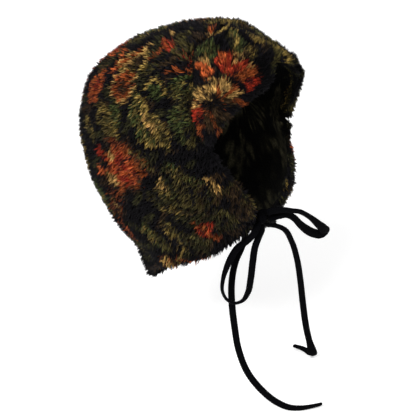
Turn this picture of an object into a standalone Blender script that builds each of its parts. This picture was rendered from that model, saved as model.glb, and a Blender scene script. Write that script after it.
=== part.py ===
# Aviator hat of printed plush: a two-part hood with a gathered brim panel and cord ties.
# Metres, +Z up, wearer facing -Y. The origin is the inside top of the crown, where it sits on a head.
import math
from collections import namedtuple

import bpy
import numpy as np

MM = 0.001

# Driving dimensions.
WALL = 6.0 * MM  # plush, backing and lining together
HALF_WIDTH = 90.0 * MM  # from the median plane to the cloth over the ear
SQUARENESS = 2.2  # 2 is round from side to side, more is fuller
EAR_AXIS_DROP = 87.0 * MM  # the line through both ears, below the origin
SEAM_GAP = 0.3 * MM
EDGE_ROUND = 1.6 * MM  # how far a turned edge stands out
TIE_DIAMETER = 6.2 * MM

# How finely the cloth is divided.
RINGS = 10
PANEL_ROWS = 8

# The hood's outline from the side: an angle round the ear axis, 0 at the face and 90 at the top,
# and the distance from the ear axis to the outside of the cloth.
Outline = namedtuple("Outline", "angle radius")
HOOD_OUTLINE = [
    Outline(-103, 181 * MM),
    Outline(-90, 185 * MM),
    Outline(-66, 167 * MM),
    Outline(-44, 133 * MM),
    Outline(-30, 127 * MM),
    Outline(-18, 114 * MM),
    Outline(-7, 111 * MM),
    Outline(5, 118 * MM),
    Outline(20, 128 * MM),
    Outline(40, 122 * MM),
    Outline(64, 110 * MM),
    Outline(80, 97 * MM),
    Outline(100, 91 * MM),
    Outline(120, 88 * MM),
    Outline(140, 92 * MM),
    Outline(160, 103 * MM),
    Outline(180, 111 * MM),
    Outline(200, 123 * MM),
    Outline(220, 134 * MM),
    Outline(240, 142 * MM),
]

# The edge of each hood half, going round the ear: its angle, and how far it lies from the
# median plane towards the ear, both in degrees.
EdgePoint = namedtuple("EdgePoint", "angle tilt")
CENTRE_SEAM = [EdgePoint(64, 0), EdgePoint(257, 0)]
HEM = [
    EdgePoint(257, 0),
    EdgePoint(260, 10),
    EdgePoint(264, 22),
    EdgePoint(270, 31),
    EdgePoint(277, 35.5),
    EdgePoint(284, 37),
    EdgePoint(293, 34.5),
    EdgePoint(303, 26),
    EdgePoint(310, 15),
    EdgePoint(315, 7),
]
CHEEK_EDGE = [
    EdgePoint(315, 7),
    EdgePoint(324, 10),
    EdgePoint(330, 16.5),
    EdgePoint(335, 21),
    EdgePoint(340, 28),
    EdgePoint(346, 32.5),
    EdgePoint(354, 39.5),
    EdgePoint(363, 46),
]
FRONT_SEAM = [
    EdgePoint(363, 46),
    EdgePoint(370, 51.5),
    EdgePoint(378, 54.5),
    EdgePoint(394, 51.5),
    EdgePoint(404, 44.5),
    EdgePoint(414, 37),
    EdgePoint(420, 29),
    EdgePoint(420.5, 22),
    EdgePoint(419.5, 12),
    EdgePoint(424, 0),
]
CENTRE_SPANS = 26
HEM_SPANS = 13
CHEEK_SPANS = 9
FRONT_SPANS = 14
FIRST_SPOKE = 89  # the angle at which the spokes round the ear begin, clear of the front seam

# Soft dents and swells of the hood: where, how wide in degrees, and how deep.
Dent = namedtuple("Dent", "angle tilt width depth")
HOOD_DENTS = [
    Dent(352, 52, 16, 5.0 * MM),
    Dent(322, 40, 20, -3.0 * MM),
    Dent(285, 52, 13, 3.5 * MM),
    Dent(260, 36, 13, 13.0 * MM),
    Dent(258, 24, 10, 7.0 * MM),
    Dent(234, 42, 12, -4.5 * MM),
    Dent(258, 0, 11, -9.0 * MM),
    Dent(268, 22, 12, -3.0 * MM),
    Dent(120, 40, 18, -2.0 * MM),
    Dent(95, 8, 14, 2.0 * MM),
    Dent(205, 50, 20, 2.5 * MM),
    Dent(150, 60, 26, -2.0 * MM),
]

# The brim panel's free edge on the wearer's right, from the temple to the peak in the middle.
# share says where along half of the front seam a point belongs, then come its places sideways,
# forward and down from the origin, and how far the panel swells behind it.
BrimPoint = namedtuple("BrimPoint", "share side forward down puff")
BRIM_EDGE = [
    BrimPoint(0.00, 66 * MM, 89 * MM, 79 * MM, 1 * MM),
    BrimPoint(0.14, 64 * MM, 91 * MM, 69 * MM, 4 * MM),
    BrimPoint(0.30, 57 * MM, 98 * MM, 52 * MM, 5 * MM),
    BrimPoint(0.46, 45 * MM, 107 * MM, 39 * MM, 3 * MM),
    BrimPoint(0.60, 33 * MM, 117 * MM, 29 * MM, -1 * MM),
    BrimPoint(0.69, 26 * MM, 121 * MM, 24 * MM, -3 * MM),
    BrimPoint(0.78, 19 * MM, 123 * MM, 15 * MM, -3 * MM),
    BrimPoint(0.85, 14 * MM, 118 * MM, 6 * MM, -1 * MM),
    BrimPoint(0.90, 10 * MM, 117 * MM, 1 * MM, 0 * MM),
    BrimPoint(0.95, 7 * MM, 130 * MM, 5 * MM, 1 * MM),
    BrimPoint(1.00, 0 * MM, 138 * MM, 10 * MM, 4 * MM),
]

# Pleats that fan out of the gather: place along half of the front seam, width there, height,
# and where along them, from the seam to the edge, they stand highest.
Pleat = namedtuple("Pleat", "share width height crest")
PLEAT_END = 1.05  # where a pleat has died away, just past the free edge
BRIM_PLEATS = [
    Pleat(1.00, 0.045, 3.0 * MM, 0.65),
    Pleat(0.93, 0.025, -3.0 * MM, 0.4),
    Pleat(0.87, 0.035, 3.5 * MM, 0.3),
    Pleat(0.79, 0.03, -3.5 * MM, 0.45),
    Pleat(0.70, 0.04, 3.0 * MM, 0.4),
    Pleat(0.60, 0.035, -3.0 * MM, 0.45),
    Pleat(0.50, 0.04, 1.5 * MM, 0.4),
]

# Ties, in millimetres from the origin: the way each leaves the knot, the points that it passes,
# and the way it comes back to the knot, if it does. Both tails reach down to the surface that
# the hat stands over, and their ends lie on it.
KNOT_PLACE = (0, -93, -175)
KNOT_RADIUS = 7.2
KNOT_CLEARANCE = 0.7
KNOT_LEAD = 4.0  # a cord leaves the knot straight for this far
Tie = namedtuple("Tie", "name leaves passes returns")
TIES = [
    Tie("chin_tie_right", (-0.85, 0.38, 0.36), [], None),
    Tie("chin_tie_left", (0.85, 0.38, 0.36), [], None),
    Tie(
        "bow_loop_right",
        (-0.82, -0.35, -0.46),
        [
            (-14, -97, -186),
            (-18, -91, -195),
            (-25, -85, -202),
            (-30, -82, -210),
            (-35, -80, -220),
            (-40, -79, -233),
            (-42, -80, -244),
            (-40, -84, -253),
            (-34, -89, -258),
            (-27, -94, -256),
            (-23, -97, -248),
            (-20, -98, -234),
            (-17, -98, -216),
            (-12, -97, -201),
            (-6, -97, -192),
        ],
        (-0.1, -0.3, -0.95),
    ),
    Tie(
        "bow_loop_left",
        (0.45, -0.7, 0.56),
        [
            (10, -105, -168),
            (18, -109, -169),
            (25, -113, -171),
            (32, -117, -173),
            (38, -120, -177),
            (45, -123, -183),
            (53, -125, -191),
            (63, -125, -200),
            (71, -122, -207),
            (70, -117, -211),
            (62, -114, -208),
            (52, -112, -201),
            (42, -111, -192),
            (33, -109, -182),
            (25, -106, -177),
            (16, -104, -176),
        ],
        (0.85, -0.5, -0.2),
    ),
    Tie(
        "tail_left",
        (0.58, 0.22, -0.78),
        [
            (13, -93, -188),
            (20, -97, -190),
            (26, -103, -194),
            (34, -107, -209),
            (41, -109, -230),
            (48, -109, -257),
            (55, -108, -287),
            (63, -108, -321),
            (70, -109, -344),
            (77, -107, -357),
            (82, -99, -360),
            (84, -88, -360),
            (83, -77, -360),
        ],
        None,
    ),
    Tie(
        "tail_right",
        (-0.5, 0.6, -0.62),
        [
            (-7, -82, -190),
            (-8, -80, -201),
            (-12, -79, -210),
            (-16, -77, -219),
            (-20, -76, -231),
            (-24, -77, -246),
            (-28, -81, -264),
            (-30, -86, -286),
            (-31, -93, -312),
            (-31, -104, -332),
            (-29, -120, -347),
            (-25, -137, -357),
            (-21, -150, -360),
            (-14, -160, -360),
            (-5, -166, -360),
            (5, -171, -360),
        ],
        None,
    ),
]


def smooth_table(keys, values, at):
    # A curve through the rows of a table, without overshoot at its ends.
    keys = np.asarray(keys, float)
    values = np.asarray(values, float)
    slopes = np.gradient(values, keys)
    at = np.clip(at, keys[0], keys[-1])
    row = np.clip(np.searchsorted(keys, at, side="right") - 1, 0, len(keys) - 2)
    span = keys[row + 1] - keys[row]
    t = (at - keys[row]) / span
    start = values[row] * (2 * t**3 - 3 * t**2 + 1) + slopes[row] * span * (t**3 - 2 * t**2 + t)
    end = values[row + 1] * (3 * t**2 - 2 * t**3) + slopes[row + 1] * span * (t**3 - t**2)
    return start + end


def outline_radius(angle):
    rows = HOOD_OUTLINE
    keys = [rows[-1].angle - 360] + [r.angle for r in rows] + [rows[0].angle + 360, rows[1].angle + 360]
    values = [rows[-1].radius] + [r.radius for r in rows] + [rows[0].radius, rows[1].radius]
    wrapped = (np.asarray(angle, float) - rows[0].angle) % 360 + rows[0].angle
    return smooth_table(keys, values, wrapped)


def swell(angle, tilt):
    # The sum of the soft dents at a place, fading out over each one's width.
    total = np.zeros(np.broadcast(angle, tilt).shape)
    for dent in HOOD_DENTS:
        turn = (np.asarray(angle, float) - dent.angle + 180) % 360 - 180
        across = turn * np.cos(np.radians(tilt) * 0.9)
        away = (across**2 + (np.asarray(tilt, float) - dent.tilt) ** 2) / dent.width**2
        total -= dent.depth * np.exp(-away)
    return total


def hood_point(angle, tilt, inset=0.0):
    # A point of the wearer's right half; inset measures inward from the outside of the cloth.
    power = 2 / SQUARENESS
    shift = swell(angle, tilt) - inset
    reach = (outline_radius(angle) + shift) * np.cos(np.radians(tilt)) ** power
    aside = (HALF_WIDTH + shift) * np.sin(np.radians(tilt)) ** power
    turn = np.radians(angle)
    x = -aside - SEAM_GAP / 2
    y = -reach * np.cos(turn)
    z = reach * np.sin(turn) - EAR_AXIS_DROP
    return np.stack(np.broadcast_arrays(x, y, z), -1)


def along(points, spans):
    # Evenly spaced places along a smooth line through the points of a table.
    rows = np.array([tuple(p) for p in points], float)
    steps = np.linalg.norm(np.diff(rows, axis=0), axis=1)
    length = np.concatenate([[0], np.cumsum(steps)])
    at = np.linspace(0, length[-1], spans + 1)
    if len(rows) == 2:
        return np.stack([np.interp(at, length, rows[:, k]) for k in range(rows.shape[1])], 1)
    return np.stack([smooth_table(length, rows[:, k], at) for k in range(rows.shape[1])], 1)


def front_seam_places(clear=0.0):
    # The seam between hood and brim; clear moves it towards the brim, for the gap between them.
    places = along(FRONT_SEAM, FRONT_SPANS)
    if clear:
        way = np.gradient(places, axis=0)
        narrowing = np.cos(np.radians(places[:, 1]))
        across = np.stack([way[:, 1], -way[:, 0] * narrowing], 1)
        across /= np.linalg.norm(across, axis=1)[:, None]
        across[-1] = (-1, 0)
        reach = outline_radius(places[:, 0])
        across[:, 0] /= narrowing
        places = places + across * np.degrees(clear / reach)[:, None]
    return places


def make_mesh(name, vertices, faces, material):
    mesh = bpy.data.meshes.new(name)
    mesh.from_pydata([tuple(v) for v in vertices], [], faces)
    mesh.validate()
    mesh.shade_smooth()
    mesh.set_sharp_from_angle(angle=math.radians(50))
    mesh.materials.append(material)
    piece = bpy.data.objects.new(name, mesh)
    bpy.context.collection.objects.link(piece)
    return piece


def make_material(name, colour, roughness):
    material = bpy.data.materials.new(name)
    material.use_nodes = True
    shader = material.node_tree.nodes["Principled BSDF"]
    shader.inputs["Base Color"].default_value = (*colour, 1)
    shader.inputs["Roughness"].default_value = roughness
    shader.inputs["Metallic"].default_value = 0
    return material


def hood_half(name, mirrored, material):
    # Rings round the ear, from a pole at the ear out to the seams and the edges.
    parts = [
        along(CENTRE_SEAM, CENTRE_SPANS)[:-1],
        along(HEM, HEM_SPANS)[:-1],
        along(CHEEK_EDGE, CHEEK_SPANS)[:-1],
        front_seam_places()[:-1],
    ]
    edge = np.concatenate(parts)
    count = len(edge)
    even = FIRST_SPOKE + 360 * np.arange(count) / count
    outside = [hood_point(np.array(64.0), np.array(90.0))]
    inside = [hood_point(np.array(64.0), np.array(90.0), WALL)]
    for ring in range(1, RINGS + 1):
        share = ring / RINGS
        angles = even + (edge[:, 0] - even) * share**1.5
        tilts = 90 - (90 - edge[:, 1]) * share
        outside += list(hood_point(angles, tilts))
        inside += list(hood_point(angles, tilts, WALL))
    # A turned edge stands out a little half way through the wall; a seam stays flat.
    turned = slice(len(parts[0]), len(parts[0]) + len(parts[1]) + len(parts[2]))
    outer_edge = np.array(outside[-count:])
    inner_edge = np.array(inside[-count:])
    middle = (outer_edge + inner_edge) / 2
    inward = np.array(outside[-2 * count : -count])
    outward = outer_edge - inward
    outward /= np.linalg.norm(outward, axis=1)[:, None]
    bulge = np.zeros((count, 1))
    bulge[turned] = EDGE_ROUND
    bulge[turned.start] = 0
    middle = middle + outward * bulge
    vertices = np.concatenate([outside, inside, middle])
    if mirrored:
        vertices = vertices * np.array([-1, 1, 1])

    def outer(ring, place):
        return 0 if ring == 0 else 1 + (ring - 1) * count + place % count

    offset = 1 + RINGS * count
    faces = []
    for place in range(count):
        faces.append((outer(0, 0), outer(1, place), outer(1, place + 1)))
        faces.append((offset, offset + outer(1, place + 1), offset + outer(1, place)))
        for ring in range(1, RINGS):
            quad = (outer(ring, place), outer(ring + 1, place), outer(ring + 1, place + 1), outer(ring, place + 1))
            faces.append(quad)
            faces.append(tuple(offset + v for v in reversed(quad)))
        rim = [2 * offset + place, 2 * offset + (place + 1) % count]
        top = (outer(RINGS, place), outer(RINGS, place + 1))
        faces.append((top[0], rim[0], rim[1], top[1]))
        faces.append((rim[0], offset + top[0], offset + top[1], rim[1]))
    if mirrored:
        faces = [tuple(reversed(face)) for face in faces]
    return make_mesh(name, vertices, faces, material)


def brim_point(share, row, inset=0.0):
    # share runs 0 to 1 from the temple to the peak, row 0 to 1 from the seam to the free edge.
    places = front_seam_places(SEAM_GAP)
    spots = np.linspace(0, 1, len(places))
    angle = np.interp(share, spots, places[:, 0])
    tilt = np.interp(share, spots, places[:, 1])
    seam = hood_point(angle, tilt, inset)
    outer_seam = hood_point(angle, tilt)
    shares = [p.share for p in BRIM_EDGE]
    side, forward, down, puff = (
        smooth_table(shares, [getattr(p, column) for p in BRIM_EDGE], share)
        for column in ("side", "forward", "down", "puff")
    )
    edge = np.array([-side, -forward, -down])
    middle = (outer_seam + edge) / 2 + np.array([0, 0, EAR_AXIS_DROP])
    out = middle / np.linalg.norm(middle)
    lift = puff * math.sin(math.pi * row)
    for p in BRIM_PLEATS:
        across = (share - p.share) / (p.width * (0.8 + 0.8 * row))
        reach = PLEAT_END - p.crest if row > p.crest else p.crest
        lengthways = max(0.0, 1 - ((row - p.crest) / reach) ** 2)
        lift += p.height * math.exp(-(across**2)) * lengthways
    start = seam
    end = edge - out * inset
    return start + (end - start) * row + out * lift


def brim_panel(material):
    count = 2 * FRONT_SPANS + 1
    shares = 1 - np.abs(np.linspace(-1, 1, count))
    sides = np.where(np.linspace(-1, 1, count) > 0, -1.0, 1.0)
    rows = np.linspace(0, 1, PANEL_ROWS + 1)
    layers = []
    for inset in (0.0, WALL):
        layer = []
        for share, side in zip(shares, sides):
            for p in (brim_point(share, row, inset) for row in rows):
                if share == 1:
                    p[0] = 0
                layer.append(p * np.array([side, 1, 1]))
        layers.append(np.array(layer))
    outside, inside = layers
    width = len(rows)
    tip = np.arange(count) * width + width - 1
    before = tip - 1
    ahead = outside[tip] - outside[before]
    ahead /= np.linalg.norm(ahead, axis=1)[:, None]
    middle = (outside[tip] + inside[tip]) / 2 + ahead * EDGE_ROUND
    vertices = np.concatenate([outside, inside, middle])
    offset = count * width
    faces = []
    for i in range(count - 1):
        for j in range(width - 1):
            quad = (i * width + j, i * width + j + 1, (i + 1) * width + j + 1, (i + 1) * width + j)
            faces.append(quad)
            faces.append(tuple(offset + v for v in reversed(quad)))
        low = (i * width, (i + 1) * width)
        faces.append((low[0], low[1], offset + low[1], offset + low[0]))
        rim = (2 * offset + i, 2 * offset + i + 1)
        high = (tip[i], tip[i + 1])
        faces.append((high[1], high[0], rim[0], rim[1]))
        faces.append((rim[1], rim[0], offset + high[0], offset + high[1]))
    for i, turn in ((0, -1), (count - 1, 1)):
        for j in range(width - 1):
            quad = (i * width + j, i * width + j + 1, offset + i * width + j + 1, offset + i * width + j)
            faces.append(quad[::turn])
        cap = (tip[i], 2 * offset + i, offset + tip[i])
        faces.append(cap[::turn])
    faces = [tuple(int(v) for v in face) for face in faces]
    return make_mesh("brim_panel", vertices, faces, material)


def from_knot(direction):
    # The two points of the straight stretch by which a cord leaves the knot.
    out = np.array(direction, float) / np.linalg.norm(direction)
    near = KNOT_RADIUS + KNOT_CLEARANCE
    return [np.array(KNOT_PLACE) + out * near, np.array(KNOT_PLACE) + out * (near + KNOT_LEAD)]


def tie_points(item):
    # Points between one and two diameters apart, on one smooth curve through the route.
    rows = from_knot(item.leaves) + [np.array(p, float) for p in item.passes]
    if item.returns:
        rows += from_knot(item.returns)[::-1]
    fine = along(np.array(rows) * MM, 400)
    length = np.linalg.norm(np.diff(fine, axis=0), axis=1).sum()
    return along(fine, max(2, round(length / (1.6 * TIE_DIAMETER))))


def tie(item, material):
    points = tie_points(item)
    curve = bpy.data.curves.new(item.name, "CURVE")
    curve.dimensions = "3D"
    curve.bevel_depth = TIE_DIAMETER / 2
    curve.bevel_resolution = 2
    curve.use_fill_caps = True
    spline = curve.splines.new("POLY")
    spline.points.add(len(points) - 1)
    for place, point in zip(spline.points, points):
        place.co = (*point, 1)
    curve.materials.append(material)
    piece = bpy.data.objects.new(item.name, curve)
    bpy.context.collection.objects.link(piece)
    return piece


def bow_knot(material):
    # A ball of wrapped cord, a little flattened where the turns cross.
    around, down = 12, 8
    vertices = []
    centre = np.array(KNOT_PLACE) * MM
    radius = KNOT_RADIUS * MM
    for row in range(1, down):
        lean = math.pi * row / down
        for step in range(around):
            turn = 2 * math.pi * step / around
            reach = radius * (1 - 0.05 * math.cos(2 * turn) ** 2)
            out = (math.sin(lean) * math.cos(turn), math.sin(lean) * math.sin(turn), math.cos(lean))
            vertices.append(centre + reach * np.array(out))
    poles = len(vertices)
    vertices.append(centre + np.array([0, 0, radius]))
    vertices.append(centre - np.array([0, 0, radius]))
    last = (down - 2) * around
    faces = []
    for step in range(around):
        ahead = (step + 1) % around
        faces.append((poles, step, ahead))
        faces.append((poles + 1, last + ahead, last + step))
        for row in range(down - 2):
            low = row * around
            high = low + around
            faces.append((low + step, high + step, high + ahead, low + ahead))
    return make_mesh("bow_knot", vertices, faces, material)


def clear_scene():
    for piece in list(bpy.data.objects):
        bpy.data.objects.remove(piece)


def main():
    clear_scene()
    plush = make_material("floral_plush", (0.035, 0.032, 0.028), 0.95)
    hood_half("hood_right", False, plush)
    hood_half("hood_left", True, plush)
    brim_panel(plush)
    cord = make_material("black_cord", (0.012, 0.012, 0.014), 0.8)
    bow_knot(cord)
    for item in TIES:
        tie(item, cord)


main()
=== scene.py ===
import math

import bpy
import numpy as np
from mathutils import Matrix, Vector
from mathutils.bvhtree import BVHTree
from mathutils.kdtree import KDTree


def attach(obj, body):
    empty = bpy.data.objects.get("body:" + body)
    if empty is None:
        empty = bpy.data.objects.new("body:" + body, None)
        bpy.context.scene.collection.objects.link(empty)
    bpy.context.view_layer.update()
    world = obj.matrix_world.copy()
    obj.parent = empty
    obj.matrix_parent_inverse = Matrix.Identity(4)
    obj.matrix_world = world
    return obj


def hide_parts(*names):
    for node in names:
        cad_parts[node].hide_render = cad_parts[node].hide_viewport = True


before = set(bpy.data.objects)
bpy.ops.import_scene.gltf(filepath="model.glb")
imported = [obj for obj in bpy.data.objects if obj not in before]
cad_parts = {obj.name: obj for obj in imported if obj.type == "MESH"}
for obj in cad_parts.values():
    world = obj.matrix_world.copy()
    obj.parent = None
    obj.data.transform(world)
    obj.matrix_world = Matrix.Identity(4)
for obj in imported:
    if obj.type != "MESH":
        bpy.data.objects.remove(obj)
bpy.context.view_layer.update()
bpy.ops.object.select_all(action="DESELECT")
mm = 0.001
print("frame loaded")


# Camera, floor and lights

stageValues = {
    "cameraPlace": (-1.0626, -0.9179, 0.4305),
    "cameraTarget": (-0.0121, -0.0364, -0.1772),
    "lens": 129.8,
    "sensor": 36.0,
    "farClip": 50.0,
    "floorHeight": -0.3635,
    "floorSize": 12.0,
    "floorColour": (0.9, 0.9, 0.9),
    "floorRoughness": 0.9,
    "floorGlow": 0.3,
    "lightsAim": (0, 0, -0.12),
    "worldColour": (1.0, 1.0, 1.0),
    "worldStrength": 0.5,
}
lights = [  # name, place, size in metres, watts
    ("keyLight", (-1.9, -0.5, 1.5), 0.9, 60),
    ("sideLight", (1.2, -1.8, 0.8), 1.4, 16),
    ("backLight", (0.6, 1.8, 1.4), 1.2, 14),
]


def turnTo(item, target):
    item.rotation_euler = (Vector(target) - item.location).to_track_quat("-Z", "Y").to_euler()


def addCamera():
    bpy.ops.object.camera_add(location=stageValues["cameraPlace"])
    camera = bpy.context.object
    camera.name = "camera"
    turnTo(camera, stageValues["cameraTarget"])
    camera.data.sensor_width = stageValues["sensor"]
    camera.data.lens = stageValues["lens"]
    camera.data.clip_end = stageValues["farClip"]
    bpy.context.scene.camera = camera


def addStage():
    place = (0, 0, stageValues["floorHeight"])
    bpy.ops.mesh.primitive_plane_add(size=stageValues["floorSize"], location=place)
    floor = bpy.context.object
    floor.name = "floor"
    pale = bpy.data.materials.new("paleFloor")
    pale.use_nodes = True
    shader = pale.node_tree.nodes["Principled BSDF"]
    shader.inputs["Base Color"].default_value = (*stageValues["floorColour"], 1)
    shader.inputs["Roughness"].default_value = stageValues["floorRoughness"]
    shader.inputs["Emission Color"].default_value = (1, 1, 1, 1)
    shader.inputs["Emission Strength"].default_value = stageValues["floorGlow"]
    floor.data.materials.append(pale)
    for name, place, size, watts in lights:
        bpy.ops.object.light_add(type="AREA", location=place)
        lamp = bpy.context.object
        lamp.name = name
        lamp.data.size = size
        lamp.data.energy = watts
        turnTo(lamp, stageValues["lightsAim"])
    world = bpy.data.worlds.new("softStudio")
    world.use_nodes = True
    sky = world.node_tree.nodes["Background"]
    sky.inputs["Color"].default_value = (*stageValues["worldColour"], 1)
    sky.inputs["Strength"].default_value = stageValues["worldStrength"]
    bpy.context.scene.world = world
    bpy.context.scene.view_settings.view_transform = "Standard"


addCamera()
addStage()
print("camera and stage set")


# Shared helpers

def smoothTable(keys, values, at):
    # values between the rows of a table, without corners
    keys = np.asarray(keys, float)
    values = np.asarray(values, float)
    slopes = np.gradient(values, keys)
    at = np.clip(at, keys[0], keys[-1])
    row = np.clip(np.searchsorted(keys, at, side="right") - 1, 0, len(keys) - 2)
    span = keys[row + 1] - keys[row]
    t = (at - keys[row]) / span
    start = values[row] * (2 * t**3 - 3 * t**2 + 1) + slopes[row] * span * (t**3 - 2 * t**2 + t)
    end = values[row + 1] * (3 * t**2 - 2 * t**3) + slopes[row + 1] * span * (t**3 - t**2)
    return start + end


def runAlong(points):
    return np.concatenate([[0], np.cumsum(np.linalg.norm(np.diff(points, axis=0), axis=1))])


def smoothLine(points, count):
    # a rounded line through the points, in even steps
    rows = np.array(points, float)
    length = runAlong(rows)
    at = np.linspace(0, length[-1], count)
    return np.stack([smoothTable(length, rows[:, k], at) for k in range(3)], 1)


def lineLength(points):
    return float(np.linalg.norm(np.diff(points, axis=0), axis=1).sum())


def unit(vectors):
    return vectors / np.maximum(np.linalg.norm(vectors, axis=-1, keepdims=True), 1e-12)


def newPiece(name, vertices, faces, material):
    mesh = bpy.data.meshes.new(name)
    mesh.from_pydata(np.asarray(vertices).tolist(), [], faces)
    mesh.materials.append(material)
    piece = bpy.data.objects.new(name, mesh)
    bpy.context.collection.objects.link(piece)
    return piece


def activate(piece):
    bpy.ops.object.select_all(action="DESELECT")
    piece.select_set(True)
    bpy.context.view_layer.objects.active = piece


def ripple(points, size, seed, waves=9):
    # a soft random field about -1 to 1 that changes over the given size
    rng = np.random.default_rng(seed)
    ways = unit(rng.normal(size=(waves, 3))) * rng.uniform(0.7, 1.6, (waves, 1)) * 2 * math.pi / (2.2 * size)
    phases = rng.uniform(0, 2 * math.pi, waves)
    return np.sin(points @ ways.T + phases).sum(1) / math.sqrt(waves / 2) / 1.6


def addNode(material, kind, **values):
    node = material.node_tree.nodes.new(kind)
    for name, value in values.items():
        if name in ("attribute_name", "data_type", "blend_type"):
            setattr(node, name, value)
        else:
            node.inputs[name.replace("_", " ")].default_value = value
    return node


# Ties: a soft flat knitted cord, tied in a bow in front

tieValues = {
    "width": 7.5 * mm,
    "thick": 3.3 * mm,
    "wrap": 4.2 * mm,  # where it is pulled round in the knot
    "gathered": (5.6 * mm, 3.4 * mm),  # between the knot and the flaps
    "round": 5.6 * mm,  # the round cord of the same girth
    "faces": (-0.70, -0.60, 0.30),  # where its flat side looks while it hangs untwisted
    "steady": 0.75,  # how slowly the flat side turns round a bend
    "endRun": 0.25,  # an end is rounded over this share of the thickness
    "endSize": 0.72,
    "sides": 16,
    "ringSpacing": 0.9 * mm,
    "knit": 0.05,  # how far the stitches stand out, as a share of the radius
    "stitchesAround": 5,
    "stitchLength": 2.6 * mm,
    "colour": (0.0012, 0.0012, 0.0016),
    "tones": (0.6, 2.2),  # darkest and lightest fibres, as shares of the colour
    "fibres": 900.0,
    "fuzz": (0.5, 0.4 * mm),  # strength and depth
    "gloss": 0.02,
    "roughness": 0.9,
}
knotValues = {
    "place": (0, -0.093, -0.175),
    "radius": 7.2 * mm,
    "clearance": 0.7 * mm,
    "lead": 4.0 * mm,  # a cord leaves the knot straight for this far
    "turns": [(0.2, 1.35, 0.1), (1.35, 0.35, 0.6), (1.2, -0.5, -0.5)],  # an upright wrap over two that cross
    "core": 0.95,
    "detail": 0.45 * mm,
}
chinTies = {
    "chinTieRight": {"node": "chin_tie_right", "leaves": (-0.85, 0.38, 0.36), "side": -1},
    "chinTieLeft": {"node": "chin_tie_left", "leaves": (0.85, 0.38, 0.36), "side": 1},
}
# from the knot on into the flap's corner, where the tie is sewn between its cloths
sewnIn = [
    (0.0105, -0.0930, -0.1727),
    (0.0145, -0.0957, -0.1734),
    (0.0200, -0.0934, -0.1750),
    (0.0250, -0.0905, -0.1768),
]
# passes in metres, twist in degrees and broad as a share of the width, both by share of the length
freeTies = {
    "loopRight": {
        "node": "bow_loop_right",
        "leaves": (-0.82, -0.35, -0.46),
        "passes": [
            (-0.014, -0.097, -0.186),
            (-0.018, -0.091, -0.195),
            (-0.025, -0.085, -0.202),
            (-0.030, -0.082, -0.210),
            (-0.035, -0.080, -0.220),
            (-0.040, -0.079, -0.233),
            (-0.042, -0.080, -0.244),
            (-0.040, -0.084, -0.253),
            (-0.034, -0.089, -0.258),
            (-0.027, -0.094, -0.256),
            (-0.023, -0.097, -0.248),
            (-0.020, -0.098, -0.234),
            (-0.017, -0.098, -0.216),
            (-0.012, -0.097, -0.201),
            (-0.006, -0.097, -0.192),
        ],
        "returns": (-0.1, -0.3, -0.95),
        "twist": [(0, 20), (0.2, 10), (0.35, 60), (0.52, 75), (0.66, 25), (0.8, 0), (1, 30)],
    },
    "loopLeft": {
        "node": "bow_loop_left",
        "leaves": (0.45, -0.7, 0.56),
        "passes": [
            (0.010, -0.105, -0.168),
            (0.018, -0.109, -0.169),
            (0.025, -0.113, -0.171),
            (0.032, -0.117, -0.173),
            (0.038, -0.120, -0.177),
            (0.045, -0.123, -0.183),
            (0.053, -0.125, -0.191),
            (0.063, -0.125, -0.200),
            (0.071, -0.122, -0.207),
            (0.070, -0.117, -0.211),
            (0.062, -0.114, -0.208),
            (0.052, -0.112, -0.201),
            (0.042, -0.111, -0.192),
            (0.033, -0.109, -0.182),
            (0.025, -0.106, -0.177),
            (0.016, -0.104, -0.176),
        ],
        "returns": (0.85, -0.5, -0.2),
        "twist": [(0, 20), (0.25, 50), (0.4, 15), (0.55, 0), (0.75, 35), (1, 50)],
        "broad": [(0, 1.1), (0.3, 1), (0.42, 1.35), (0.66, 1.35), (0.85, 1.1), (1, 1.1)],
    },
    "tailLeft": {
        "node": "tail_left",
        "leaves": (0.58, 0.22, -0.78),
        "passes": [
            (0.013, -0.093, -0.188),
            (0.020, -0.097, -0.190),
            (0.026, -0.103, -0.194),
            (0.034, -0.107, -0.209),
            (0.041, -0.109, -0.230),
            (0.048, -0.109, -0.257),
            (0.055, -0.108, -0.287),
            (0.063, -0.108, -0.321),
            (0.070, -0.109, -0.344),
            (0.077, -0.107, -0.357),
            (0.082, -0.099, -0.360),
            (0.084, -0.088, -0.360),
            (0.083, -0.077, -0.360),
        ],
        "returns": None,
        "twist": [(0, 60), (0.15, 45), (0.4, 30), (0.65, 10), (0.85, 0), (1, 70)],
        "broad": [(0, 1), (0.76, 1), (0.82, 1.35), (0.89, 1.35), (0.93, 0.8), (1, 0.75)],
    },
    "tailRight": {
        "node": "tail_right",
        "leaves": (-0.5, 0.6, -0.62),
        "passes": [
            (-0.007, -0.082, -0.190),
            (-0.008, -0.080, -0.201),
            (-0.012, -0.079, -0.210),
            (-0.016, -0.077, -0.219),
            (-0.020, -0.076, -0.231),
            (-0.024, -0.077, -0.246),
            (-0.028, -0.081, -0.264),
            (-0.030, -0.086, -0.286),
            (-0.031, -0.093, -0.312),
            (-0.031, -0.104, -0.332),
            (-0.029, -0.120, -0.347),
            (-0.025, -0.137, -0.357),
            (-0.021, -0.150, -0.360),
            (-0.014, -0.160, -0.360),
            (-0.005, -0.166, -0.360),
            (0.005, -0.171, -0.360),
        ],
        "returns": None,
        "twist": [(0, 50), (0.2, 25), (0.4, 0), (0.8, 10), (1, 60)],
    },
}


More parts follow.
